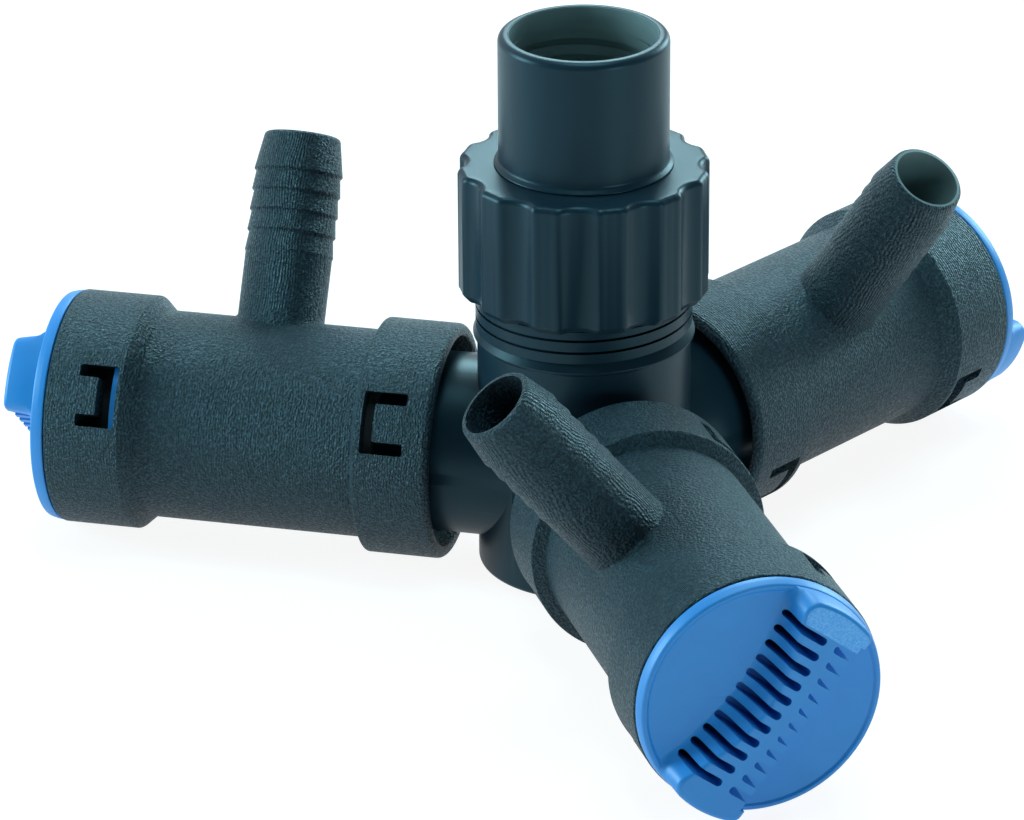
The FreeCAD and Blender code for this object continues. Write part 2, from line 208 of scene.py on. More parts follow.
def moulded_black():
    """Black glass-filled nylon from a polished mould: satin, with a faint skin of flow marks."""
    made, tree, shader = new_material("moulded_nylon_black")
    place = object_place(tree)
    flow = noise(tree, place, 60.0, 3.0)
    skin = noise(tree, place, 1400.0, 2.0)
    inputs = {
        "Base Color": tint(tree, flow, "#162a35", "#1d333f"),
        "Roughness": spread(tree, flow, 0.0, 1.0, 0.3, 0.4),
        "Normal": relief(tree, skin, 0.1, 0.12),
        "Specular IOR Level": 0.42,
        "Specular Tint": linear(SHEEN),
    }
    feed(tree, shader, inputs)
    return made


def moulded_blue():
    """Blue ABS, satin moulded; the pad at one end of the grip is spark-eroded and looks frosted."""
    made, tree, shader = new_material("moulded_abs_blue")
    place = drawn_place(tree)
    mottle = noise(tree, place, 0.16, 2.0)
    grit = noise(tree, place, 3.0, 2.0)
    parts = node(tree, "ShaderNodeSeparateXYZ", {"Vector": place}).outputs
    top = FACE + GRIP_HEIGHT
    at_end = spread(tree, parts["Y"], PAD_EDGE, PAD_EDGE + 0.3, 1.0, 0.0)
    on_top = spread(tree, parts["Z"], top - 0.12, top - 0.05)
    pad = maths(tree, "MULTIPLY", at_end, on_top)
    plain = tint(tree, mottle, "#2687d4", "#2e92e0")
    frosted = tint(tree, spread(tree, grit, 0.35, 0.65), "#46a0f2", "#6cbcff")
    frost = spread(tree, pad, 0.0, 1.0, 0.06, 1.0)
    inputs = {
        "Base Color": tint(tree, pad, plain, frosted),
        "Roughness": spread(tree, mottle, 0.0, 1.0, 0.36, 0.46),
        "Normal": relief(tree, grit, 0.12, frost),
        "IOR": 1.54,
    }
    feed(tree, shader, inputs)
    return made


def seal_rubber_and_shade():
    """Nitrile rubber of the seal rings: near black and matt, with a dusty bloom; the near black
    also paints the shade seen through the barrels' slots.
    """
    made, tree, shader = new_material("nitrile_rubber_black_and_shade")
    bloom = noise(tree, object_place(tree), 300.0, 3.0)
    colour = tint(tree, bloom, "#080c0f", "#10171b")
    feed(tree, shader, {"Base Color": colour, "Roughness": 0.75})
    return made


def bore_painted_light():
    """Nylon of a water way with a paler grey-green base: painted light that stands in for the light
    falling into the bore.
    """
    made, tree, shader = new_material("nylon_bore_painted_light")
    bore_light_patches = noise(tree, object_place(tree), 220.0, 3.0)
    colour = tint(tree, bore_light_patches, "#6e8283", "#7a8e8e")
    feed(tree, shader, {"Base Color": colour, "Roughness": 0.6})
    return made


NYLON, BLACK, BLUE = sintered_nylon(), moulded_black(), moulded_blue()
# The bore material is painted light: a paler grey-green base on the walls of the water ways.
RUBBER_AND_SHADE, BORE_PAINTED_LIGHT = seal_rubber_and_shade(), bore_painted_light()


def rounded(corners, closed=True, step=math.radians(12)):
    """An outline through corners (u, v) or (u, v, radius), each radius drawn as short chords."""
    points = []
    count = len(corners)
    for i, corner in enumerate(corners):
        here = Vector(corner[:2])
        if len(corner) < 3 or (not closed and i in (0, count - 1)):
            points.append(here)
            continue
        back = (Vector(corners[i - 1][:2]) - here).normalized()
        ahead = (Vector(corners[(i + 1) % count][:2]) - here).normalized()
        half = back.angle(ahead) / 2
        radius = corner[2]
        centre = here + (back + ahead).normalized() * (radius / math.sin(half))
        first = here + back * (radius / math.tan(half)) - centre
        sweep = math.pi - 2 * half
        turn = 1 if first.x * (here - centre).y - first.y * (here - centre).x > 0 else -1
        pieces = max(2, math.ceil(sweep / step))
        for k in range(pieces + 1):
            angle = turn * sweep * k / pieces
            c, s = math.cos(angle), math.sin(angle)
            points.append(centre + Vector((first.x * c - first.y * s, first.x * s + first.y * c)))
    return points


def new_object(name, bm):
    """An object with this bmesh as its mesh, its faces turned outwards."""
    bmesh.ops.recalc_face_normals(bm, faces=bm.faces)
    mesh = bpy.data.meshes.new(name)
    bm.to_mesh(mesh)
    bm.free()
    made = bpy.data.objects.new(name, mesh)
    bpy.context.scene.collection.objects.link(made)
    return made


def skin_rows(bm, rows, wrap):
    """Quads between neighbouring rows, each a closed ring of vertices; wrap joins last to first."""
    pairs = list(zip(rows, rows[1:])) + ([(rows[-1], rows[0])] if wrap else [])
    for low, high in pairs:
        for i in range(len(low)):
            j = (i + 1) % len(low)
            bm.faces.new((low[i], low[j], high[j], high[i]))


def full_turn(steps):
    """Even angles once round."""
    return [2 * math.pi * k / steps for k in range(steps)]


def turned(name, section, steps=160):
    """A ring turned about Z from a closed section of (radius, height) points."""
    bm = bmesh.new()
    rows = [
        [bm.verts.new((u, v, height)) for u, v in disc_outline(radius, steps)]
        for radius, height in section
    ]
    skin_rows(bm, rows, wrap=True)
    return new_object(name, bm)


def prism(name, outline, low, high, axis="Z"):
    """A straight prism along one axis, of an outline in the other two."""
    bm = bmesh.new()
    ends = []
    for level in (low, high):
        row = []
        for pair in outline:
            spot = list(pair)
            spot.insert("XYZ".index(axis), level)
            row.append(bm.verts.new(spot))
        bm.faces.new(row)
        ends.append(row)
    skin_rows(bm, ends, wrap=False)
    return new_object(name, bm)


def disc_outline(radius, steps=128):
    """A circle as an outline."""
    return [(radius * math.cos(a), radius * math.sin(a)) for a in full_turn(steps)]


def box_outline(left, right, near, far):
    """A rectangle as an outline."""
    return [(left, near), (right, near), (right, far), (left, far)]


def settle(obj):
    """Turn an object's live modifiers into its plain mesh."""
    graph = bpy.context.evaluated_depsgraph_get()
    result = bpy.data.meshes.new_from_object(obj.evaluated_get(graph))
    obj.modifiers.clear()
    obj.data = result
    return obj


def combine(base, tool, how):
    """Join, cut or intersect base with tool, which is used up."""
    step = base.modifiers.new(how, "BOOLEAN")
    step.operation, step.object, step.solver = how, tool, "EXACT"
    settle(base)
    bpy.data.objects.remove(tool)
    return base


def join(base, other):
    """Add another object's mesh to base as it stands."""
    bm = bmesh.new()
    bm.from_mesh(base.data)
    bm.from_mesh(other.data)
    bm.to_mesh(base.data)
    bm.free()
    bpy.data.objects.remove(other)
    return base


def finish_piece(name, mesh, matrix, material, body, replaced=(), in_bore=None):
    """A finished piece: its mesh placed in the shared frame, its material set, riding on its body;
    in_bore tells from a face's middle whether the face is in a water way, where the bore material
    paints light."""
    placed = mesh.copy()
    place = placed.attributes.new("place", "FLOAT_VECTOR", "POINT")
    for i, vertex in enumerate(mesh.vertices):
        place.data[i].vector = vertex.co
    placed.transform(matrix @ Matrix.Scale(MM, 4))
    placed.materials.clear()
    placed.materials.append(material)
    # Faces in a water way get the paler bore material, a painted light.
    if in_bore:
        placed.materials.append(BORE_PAINTED_LIGHT)
        for face, drawn in zip(placed.polygons, mesh.polygons):
            face.material_index = int(in_bore(drawn.center))
    placed.shade_smooth()
    placed.set_sharp_from_angle(angle=CRISP)
    piece = bpy.data.objects.new(name, placed)
    bpy.context.scene.collection.objects.link(piece)
    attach(piece, body)
    for cad_node in replaced:
        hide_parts(cad_node)
    return piece


def take_mesh(obj):
    """The mesh of a working object, which is removed."""
    mesh = obj.data
    bpy.data.objects.remove(obj)
    return mesh


def node_tool(name, floats, material, source=False):
    """A Geometry Nodes tree with named float inputs: the tree, its input sockets and an ender."""
    tree = bpy.data.node_groups.new(name, "GeometryNodeTree")
    tree.interface.new_socket("Geometry", in_out="OUTPUT", socket_type="NodeSocketGeometry")
    if source:
        tree.interface.new_socket("Geometry", in_out="INPUT", socket_type="NodeSocketGeometry")
    for label in floats:
        tree.interface.new_socket(label, in_out="INPUT", socket_type="NodeSocketFloat")
    given = node(tree, "NodeGroupInput").outputs

    def end(geometry):
        real = node(tree, "GeometryNodeRealizeInstances", {"Geometry": geometry}).outputs[0]
        dressed = node(
            tree, "GeometryNodeSetMaterial", {"Geometry": real, "Material": material}
        ).outputs[0]
        node(tree, "NodeGroupOutput", {"Geometry": dressed})

    return tree, given, end


def run_tool(obj, tree, values):
    """Run a tree on an object with these input values and keep the result as its plain mesh."""
    step = obj.modifiers.new(tree.name, "NODES")
    step.node_group = tree
    sockets = {s.name: s.identifier for s in tree.interface.items_tree if s.in_out == "INPUT"}
    for label, value in values.items():
        step[sockets[label]] = float(value)
    return settle(obj)


def thread_tool():
    """A screw thread: a trapezoid ridge swept along a spiral."""
    floats = ["Radius", "Pitch", "Turns", "Inner Width", "Outer Width", "Depth"]
    tree, given, end = node_tool("screw_thread", floats, BLACK)
    rise = maths(tree, "MULTIPLY", given["Pitch"], given["Turns"])
    spiral = node(
        tree,
        "GeometryNodeCurveSpiral",
        {
            "Resolution": 72,
            "Rotations": given["Turns"],
            "Start Radius": given["Radius"],
            "End Radius": given["Radius"],
            "Height": rise,
            "Reverse": True,
        },
    ).outputs["Curve"]
    upright = node(
        tree, "GeometryNodeSetCurveNormal", {"Curve": spiral}, mode="Z_UP"
    ).outputs["Curve"]
    ridge = node(
        tree,
        "GeometryNodeCurvePrimitiveQuadrilateral",
        {
            "Height": given["Depth"],
            "Bottom Width": given["Inner Width"],
            "Top Width": given["Outer Width"],
            "Offset": 0.0,
        },
        mode="TRAPEZOID",
    ).outputs["Curve"]
    outward = node(
        tree, "GeometryNodeTransform", {"Geometry": ridge, "Rotation": (0.0, 0.0, math.pi / 2)}
    ).outputs["Geometry"]
    swept = node(
        tree,
        "GeometryNodeCurveToMesh",
        {"Curve": upright, "Profile Curve": outward, "Fill Caps": True},
    ).outputs["Mesh"]
    end(swept)
    return tree


def flute_tool():
    """Round flutes in a turned rim: each outer point moves in to the nearest flute's circle."""
    floats = ["Count", "Turn", "Rim Radius", "Flute Radius", "Flute Depth", "Lobe Round", "Reach"]
    tree, given, end = node_tool("fluted_rim", floats, BLACK, source=True)
    calc = partial(maths, tree)
    spot = node(tree, "GeometryNodeInputPosition").outputs[0]
    x, y, _ = node(tree, "ShaderNodeSeparateXYZ", {"Vector": spot}).outputs
    angle = calc("SUBTRACT", calc("ARCTAN2", y, x), given["Turn"])
    half = calc("DIVIDE", math.pi, given["Count"])
    local = calc("WRAP", angle, half, calc("MULTIPLY", half, -1.0))
    deepest = calc("SUBTRACT", given["Rim Radius"], given["Flute Depth"])
    centre = calc("ADD", deepest, given["Flute Radius"])
    side = calc("MULTIPLY", centre, calc("SINE", local))
    square = calc("SUBTRACT", calc("POWER", given["Flute Radius"], 2.0), calc("POWER", side, 2.0))
    chord = calc("SQRT", calc("MAXIMUM", square, 0.0))
    wall = calc("SUBTRACT", calc("MULTIPLY", centre, calc("COSINE", local)), chord)
    inside = calc("GREATER_THAN", square, 0.0)
    deep = calc("MULTIPLY", inside, calc("SUBTRACT", given["Rim Radius"], wall))
    sink = calc("SMOOTH_MAX", deep, 0.0, given["Lobe Round"])
    out = node(tree, "ShaderNodeCombineXYZ", {"X": x, "Y": y}).outputs[0]
    radius = node(tree, "ShaderNodeVectorMath", {0: out}, operation="LENGTH").outputs["Value"]
    near = calc("GREATER_THAN", radius, calc("SUBTRACT", given["Rim Radius"], given["Reach"]))
    unit = node(tree, "ShaderNodeVectorMath", {0: out}, operation="NORMALIZE").outputs["Vector"]
    push = node(
        tree,
        "ShaderNodeVectorMath",
        {0: unit, "Scale": calc("MULTIPLY", calc("MULTIPLY", sink, near), -1.0)},
        operation="SCALE",
    ).outputs["Vector"]
    moved = node(
        tree, "GeometryNodeSetPosition", {"Geometry": given["Geometry"], "Offset": push}
    ).outputs[0]
    end(moved)
    return tree


def slot_tool():
    """A row of copies of one slot cutter along Y, bowed towards -X in its middle."""
    tree, given, end = node_tool("slot_row", ["Count", "Pitch", "Bow"], BLUE, source=True)
    calc = partial(maths, tree)
    whole = node(tree, "FunctionNodeFloatToInt", {"Float": given["Count"]}).outputs[0]
    step = node(tree, "ShaderNodeCombineXYZ", {"Y": given["Pitch"]}).outputs[0]
    length = calc("MULTIPLY", calc("SUBTRACT", given["Count"], 1.0), given["Pitch"])
    half = calc("MULTIPLY", length, -0.5)
    start = node(tree, "ShaderNodeCombineXYZ", {"Y": half}).outputs[0]
    row = node(
        tree,
        "GeometryNodeMeshLine",
        {"Count": whole, "Start Location": start, "Offset": step},
    ).outputs["Mesh"]
    spot = node(tree, "GeometryNodeInputPosition").outputs[0]
    along = node(tree, "ShaderNodeSeparateXYZ", {"Vector": spot}).outputs["Y"]
    share = calc("DIVIDE", along, half)
    shift = calc("MULTIPLY", calc("MULTIPLY_ADD", share, share, -1.0), given["Bow"])
    offset = node(tree, "ShaderNodeCombineXYZ", {"X": shift}).outputs[0]
    bowed = node(tree, "GeometryNodeSetPosition", {"Geometry": row, "Offset": offset}).outputs[0]
    copies = node(
        tree, "GeometryNodeInstanceOnPoints", {"Points": bowed, "Instance": given["Geometry"]}
    ).outputs[0]
    end(copies)
    return tree


def tail_rings():
    """Stations and radii of the hose tail beyond its foot: plain stem, barbs with their steps
    towards the barrel, and a long tip cone with a rounded end."""
    first = TAIL_END - TIP_LENGTH - (BARB_COUNT - 1) * BARB_PITCH
    valley, edge = BARB_R - BARB_DEPTH, BARB_R - 0.08
    rings = [(BARREL_R + TAIL_FILLET + 2.0, TAIL_R), (first - 0.45, TAIL_R), (first - 0.05, edge)]
    for k in range(BARB_COUNT):
        crest = first + k * BARB_PITCH
        rings += [(crest + 0.1, BARB_R), (crest + 0.35, BARB_R - 0.03)]
        if k < BARB_COUNT - 1:
            low = crest + BARB_PITCH
            rings += [(low - 0.6, valley), (low - 0.4, valley), (low - 0.05, edge)]
    return rings + [
        (TAIL_END - 1.2, TIP_R),
        (TAIL_END - 0.55, TIP_R - 0.12),
        (TAIL_END - 0.15, TIP_R - 0.4),
        (TAIL_END, TIP_R - 0.75),
    ]


def hose_tail():
    """The hose tail as a solid: rounded foot on the barrel, plain stem, barbs and tip."""
    steps = 112
    angles = full_turn(steps)
    bm = bmesh.new()
    rows = []
    wide = TAIL_R + TAIL_FILLET
    far = BARREL_R + TAIL_FILLET
    seat = BARREL_R - WALL / 2
    for share in (0.3, 0.6, 0.85, 1.0):
        row = []
        for a in angles:
            y = share * wide * math.sin(a) * BARREL_R / far
            z = share * wide * math.cos(a)
            row.append(bm.verts.new((math.sqrt(seat**2 - y**2), y, TAIL_STATION + z)))
        rows.append(row)
    for k in range(9):
        row = []
        for a in angles:
            y, z = wide * math.sin(a), wide * math.cos(a)
            centre = Vector((math.sqrt(far**2 - y**2), y, z))
            to_barrel = Vector((-centre.x, -centre.y, 0)).normalized()
            to_tail = Vector((0, -math.sin(a), -math.cos(a)))
            arm = to_barrel.slerp(to_tail, k / 8) * (TAIL_FILLET + (0.05 if k == 0 else 0.0))
            row.append(bm.verts.new(centre + arm + Vector((0, 0, TAIL_STATION))))
        rows.append(row)
    for reach, radius in tail_rings():
        rows.append(
            [
                bm.verts.new((reach, radius * math.sin(a), TAIL_STATION + radius * math.cos(a)))
                for a in angles
            ]
        )
    skin_rows(bm, rows, wrap=False)
    bm.faces.new(rows[-1])
    hub = bm.verts.new((seat, 0, TAIL_STATION))
    for i in range(steps):
        bm.faces.new((hub, rows[0][i], rows[0][(i + 1) % steps]))
    return new_object("tail", bm)


def snap_slot(root, tip, across):
    """The slot round a snap tongue, as an outline in X and Z."""
    inner, outer = TONGUE / 2, TONGUE / 2 + TONGUE_GAP
    r = 0.5
    return rounded(
        [
            (-outer, root, r),
            (-inner, root, r),
            (-inner, tip, r),
            (inner, tip, r),
            (inner, root, r),
            (outer, root, r),
            (outer, across, r),
            (-outer, across, r),
        ],
        step=math.radians(30),
    )


def barrel_mesh():
    """A valve barrel with its collars, snap tongues and hose tail."""
    section = rounded(
        [
            (SOCKET_R, MOUTH, 0.6),
            (COLLAR_R, MOUTH, 1.6),
            (COLLAR_R, MOUTH + INNER_COLLAR, 0.4),
            (BARREL_R, MOUTH + INNER_COLLAR + INNER_BEVEL, 0.4),
            (BARREL_R, BARREL_END - OUTER_COLLAR - OUTER_BEVEL, 0.6),
            (COLLAR_R, BARREL_END - OUTER_COLLAR, 0.6),
            (COLLAR_R, BARREL_END, 0.5),
            (BORE_R, BARREL_END, 0.4),
            (BORE_R, RING_END + RUNNING_GAP),
            (RING_R + RUNNING_GAP, RING_END + RUNNING_GAP),
            (RING_R + RUNNING_GAP, RING_START - RUNNING_GAP),
            (BORE_R, RING_START - RUNNING_GAP),
            (BORE_R, SOCKET_END),
            (SOCKET_R, SOCKET_END),
        ]
    )
    shell = turned("barrel", section)
    combine(shell, hose_tail(), "UNION")
    circle = [(y, TAIL_STATION + z) for z, y in disc_outline(TAIL_BORE_R, 96)]
    port = prism("port", circle, PORT_START, PORT_END, axis="X")
    combine(shell, port, "DIFFERENCE")
    for outline in (
        snap_slot(INNER_ROOT, INNER_TIP, INNER_TIP + TONGUE_GAP),
        snap_slot(OUTER_ROOT, OUTER_TIP, OUTER_TIP - OUTER_GAP),
    ):
        combine(shell, prism("slot", outline, -CLEAR, CLEAR, axis="Y"), "DIFFERENCE")
    return take_mesh(shell)


def slot_outline(closed_end, open_end):
    """A long round-ended slot in X, one slot width across."""
    half = SLOT_WIDTH / 2
    way = 1 if open_end > closed_end else -1
    points = []
    for centre, start in ((closed_end + way * half, 90), (open_end - way * half, -90)):
        for k in range(9):
            a = math.radians(start + 22.5 * k)
            points.append((centre + way * half * math.cos(a), half * math.sin(a)))
    return points


def crest_spot(y):
    """A spot of the grip's crest from above and its outward way: the crest is waisted in the middle
    and flares towards both end pads."""
    share = y / FLARE_REACH
    lean = CREST_FLARE * FLARE_POWER / FLARE_REACH * share ** (FLARE_POWER - 1)
    spot = Vector((CREST_WAIST + CREST_FLARE * share**FLARE_POWER, y))
    return spot, Vector((1, -lean)).normalized()


def arc(centre, radius, start, end, pieces, first=1):
    """Spots and outward ways along an arc from above."""
    found = []
    for k in range(first, pieces + 1):
        a = start + (end - start) * k / pieces
        way = Vector((math.cos(a), math.sin(a)))
        found.append((centre + way * radius, way))
    return found


def crest_path(corner):
    """Half of the crest line from above, as spots and outward ways: along the slope, round the
    corner of the end pad, along the rim and round a second corner to the steep side's middle."""

    def corner_centre(y):
        spot, way = crest_spot(y)
        return spot - way * corner

    low, high = 10.0, GRIP_END_R
    for _ in range(40):
        middle = (low + high) / 2
        if corner_centre(middle).length < GRIP_END_R - corner:
            low = middle
        else:
            high = middle
    centre, first = corner_centre(low), crest_spot(low)[1]
    start, meet = math.atan2(first.y, first.x), math.atan2(centre.y, centre.x)
    heel = 2.0
    turn_x = heel - GRIP_BACK_END
    turn_y = math.sqrt((GRIP_END_R - heel) ** 2 - turn_x**2)
    rim_end = math.atan2(turn_y, turn_x)
    return (
        [crest_spot(low * k / 20) for k in range(20)]
        + arc(centre, corner, start, meet, 10, first=0)
        + arc(Vector((0, 0)), GRIP_END_R, meet, rim_end, 14)
        + arc(Vector((turn_x, turn_y)), heel, rim_end, math.pi, 8)
        + [(Vector((-GRIP_BACK_END, turn_y * (7 - k) / 8)), Vector((-1, 0))) for k in range(8)]
    )


def grip_solid(floor):
    """The grip bar: its slope, with hollow foot and rounded crest, wraps round both end pads."""
    foot, crest, corner = 3.0, 1.2, 2.8
    top = FACE + GRIP_HEIGHT
    profile = rounded(
        [
            (SLOPE_RUN + 2 * foot, DISC_BACK + 0.4),
            (SLOPE_RUN + 2 * foot, floor - 0.25),
            (SLOPE_RUN, floor - 0.1, foot),
            (0.0, top, crest),
            (-1.4 * crest, top),
        ],
        closed=False,
    )
    path = crest_path(corner)
    mirrored = [(Vector((p.x, -p.y)), Vector((w.x, -w.y))) for p, w in reversed(path[1:-1])]
    limit = KNOB_R - 0.3
    bm = bmesh.new()
    rows = []
    for spot, way in path + mirrored:
        steep = way.x < -0.3
        spread = 0.0 if steep else SLOPE_SPREAD * max(0.0, 1 - (spot.y / SLOPE_HALF) ** 2)
        row = []
        for out, height in profile:
            low = min(1.0, max(0.0, (top - crest - height) / (GRIP_HEIGHT - crest)))
            reach = 0.45 * out if steep and out > 0 else out
            place = spot + way * (reach + spread * low)
            if place.length > limit:
                place = place.normalized() * limit
            row.append(bm.verts.new((place.x, place.y, height)))
        rows.append(row)
    levels = list(zip(*rows))
    skin_rows(bm, levels, wrap=False)
    bm.faces.new(levels[0])
    bm.faces.new(levels[-1])
    grip = new_object("grip", bm)
    end = SLOT_PITCH * (SLOT_COUNT + 0.6) / 2
    behind = box_outline(-KNOB_R, -GRIP_BACK, -end, end)
    return combine(grip, prism("behind", behind, DISC_BACK - 1, top + 1), "DIFFERENCE")


def knob_mesh():
    """A regulator: beaded disc, slotted grip, stem, plug and shutter blade."""
    dished = FACE - KNOB_DISH
    disc = turned(
        "knob",
        rounded(
            [
                (PINHOLE_R, DISC_BACK),
                (KNOB_R + 0.4, DISC_BACK, 0.3),
                (KNOB_R + 0.25, DISC_BACK + 1.2, 1.0),
                (KNOB_R - 0.2, FACE, 0.8),
                (KNOB_R - 0.2 - KNOB_BEAD, FACE, 0.3),
                (KNOB_R - 0.3 - KNOB_BEAD - KNOB_DISH, dished, 0.5),
                (PINHOLE_R, dished),
            ]
        ),
    )
    combine(disc, grip_solid(dished), "UNION")
    rows = slot_tool()
    spine_back = -SPINE_FRONT - SPINE_WIDTH
    for closed_end, open_end, depth in (
        (-SPINE_FRONT, SLOT_FOOT, SLOT_SINK),
        (spine_back, -GRIP_BACK - 3 * SLOT_WIDTH, KNOB_DISH - 0.05),
        (spine_back - 0.05, -GRIP_BACK + 0.9 + ROW_BOW, SLOT_SINK),
    ):
        outline = slot_outline(closed_end, open_end)
        cutter = prism("slot", outline, FACE - depth, FACE + 2 * GRIP_HEIGHT)
        run_tool(cutter, rows, {"Count": SLOT_COUNT, "Pitch": SLOT_PITCH, "Bow": ROW_BOW})
        combine(disc, cutter, "DIFFERENCE")
    edge = disc.modifiers.new("edge", "BEVEL")
    edge.width, edge.segments, edge.limit_method = 0.22, 2, "ANGLE"
    edge.angle_limit = math.radians(40)
    settle(disc)
    plug = prism("plug", disc_outline(PLUG_R), STUB_END + RUNNING_GAP, PLUG_END)
    way = box_outline(-BORE_R - 1, PLUG_R - SHUTTER, -BORE_R - 1, BORE_R + 1)
    combine(plug, prism("way", way, STUB_END - 1, PLUG_START), "DIFFERENCE")
    half = STEM_WIDTH / 2
    square = box_outline(-half, half, -half, half)
    stem = prism("stem", square, PLUG_END - 0.5, DISC_BACK + 0.5)
    combine(plug, prism("snap_ring", disc_outline(RING_R), RING_START, RING_END), "UNION")
    join(disc, combine(plug, stem, "UNION"))
    return take_mesh(disc)


def nut_mesh():
    """The union nut: turned ring with its inward collar, then fluted."""
    section = rounded(
        [
            (NUT_HOLE_R, FLANGE_TOP),
            (NUT_BORE_R, FLANGE_TOP),
            (NUT_BORE_R, NUT_BOTTOM, 0.4),
            (NUT_R - 1.5, NUT_BOTTOM, 0.5),
            (NUT_R, NUT_BOTTOM + 1.7, 0.6),
            (NUT_R, NUT_TOP, 1.5),
            (NUT_R - 3.6, NUT_TOP),
            (NUT_HOLE_R, NUT_TOP, 0.3),
        ]
    )
    ring = turned("nut", section, steps=FLUTES * 28)
    values = {
        "Count": FLUTES,
        "Turn": FLUTE_TURN,
        "Rim Radius": NUT_R,
        "Flute Radius": FLUTE_R,
        "Flute Depth": FLUTE_DEPTH,
        "Lobe Round": 0.7,
        "Reach": 2.6,
    }
    return take_mesh(run_tool(ring, flute_tool(), values))


def tube_mesh():
    """The inlet tube: clamped flange, flared foot above the nut and a rounded rim."""
    root_r = INLET_R + 0.5
    section = rounded(
        [
            (INLET_R, NECK_TOP),
            (FLANGE_R, NECK_TOP, 0.3),
            (FLANGE_R, FLANGE_TOP, 0.3),
            (TUBE_R, FLANGE_TOP),
            (TUBE_R, NUT_TOP + 0.15),
            (TUBE_R + 1.0, NUT_TOP + 0.15, 0.1),
            (TUBE_R + 0.9, NUT_TOP + 0.45, 0.15),
            (TUBE_R, NUT_TOP + 1.3, 1.0),
            (TUBE_R, TUBE_TOP, 1.7),
            (root_r, TUBE_TOP, 0.35),
            (root_r, NECK_TOP + 3.0),
            (INLET_R, NECK_TOP + 3.0),
        ]
    )
    return take_mesh(turned("tube", section))


def swivel(branch):
    """The joint that a branch's barrel turns on."""
    return next(j for j in frame["joints"] if j["name"] == f"{branch}_barrel_swivel")


def branch_place(branch):
    """The frame of a branch: origin on the inlet axis, Z along the barrel, X along the tail."""
    mount = next(m for m in frame["record"]["mounts"] if m["name"] == f"hose_tail_{branch}")
    z = Vector(swivel(branch)["axis"]).normalized()
    x = Vector(mount["axis"])
    x = (x - z * x.dot(z)).normalized()
    turn = Matrix((x, z.cross(x), z)).transposed().to_4x4()
    return Matrix.Translation(swivel(branch)["pos_m"]) @ turn


BRANCH_PLACE = {branch: branch_place(branch) for branch in KNOB_TURN}


def body_mesh():
    """The central body: closed cup, bevelled shoulder ring under the thread, neck and stubs."""
    section = rounded(
        [
            (PINHOLE_R, 0.0),
            (BODY_R, 0.0, 1.2),
            (BODY_R, SHOULDER - 2.2, 0.3),
            (BODY_R + 0.9, SHOULDER - 1.5, 0.3),
            (BODY_R + 0.9, SHOULDER - 1.1, 0.25),
            (NECK_R, SHOULDER + 1.2, 0.3),
            (NECK_R, NECK_TOP, 0.6),
            (NECK_BORE_R, NECK_TOP, 0.4),
            (NECK_BORE_R, BODY_FLOOR, 1.0),
            (PINHOLE_R, BODY_FLOOR),
        ]
    )
    stub_section = rounded(
        [
            (PINHOLE_R, STUB_ROOT),
            (STUB_R, STUB_ROOT),
            (STUB_R, STUB_END, 0.6),
            (PINHOLE_R, STUB_END),
        ]
    )
    body = turned("body", section)
    lift = Matrix.Translation((0, 0, swivel("left")["pos_m"][2] / MM))
    places = [lift @ place.to_3x3().to_4x4() for place in BRANCH_PLACE.values()]
    for place in places:
        stub = turned("stub", stub_section, steps=128)
        stub.data.transform(place)
        combine(body, stub, "UNION")
    for place in places:
        bore = prism("bore", disc_outline(STUB_BORE_R), STUB_BORE_ROOT, STUB_END + 5.0)
        bore.data.transform(place)
        combine(body, bore, "DIFFERENCE")
    hollow = prism("hollow", disc_outline(NECK_BORE_R), BODY_FLOOR, NECK_TOP + 5.0)
    combine(body, hollow, "DIFFERENCE")
    return take_mesh(body)


def in_tail(spot):
    """Whether a spot of a barrel is on the wall of the hose tail's bore."""
    return spot.x > BARREL_R and math.hypot(spot.y, spot.z - TAIL_STATION) < TAIL_BORE_R + 0.05


def in_inlet(spot):
    """Whether a spot of the inlet tube is on the wall of its bore."""
    return math.hypot(spot.x, spot.y) < INLET_R + 0.6


def stub_seal_mesh():
    """The seal ring between a stub and its barrel's socket; its black, seen through the inner
    slots, also stands in for the shade there.
    """
    inner, outer = STUB_R + 0.1, SOCKET_R - 0.2
    start, end, r = SEAL_START, SEAL_END, 0.8
    corners = [(inner, start), (outer, start, r), (outer, end, r), (inner, end)]
    return take_mesh(turned("stub_seal_and_shade", rounded(corners)))


def plug_seal_mesh():
    """The seal ring between a knob's plug and its barrel's bore, seen through the outer slots,
    where its black also stands in for the shade in the slots.
    """
    inner, outer, start, end = PLUG_R - 0.6, BORE_R - 0.05, RING_END - 0.1, OUTER_ROOT + 1.0
    corners = [(inner, start), (outer, start), (outer, end, 0.6), (inner, end)]
    return take_mesh(turned("plug_seal_and_shade", rounded(corners)))


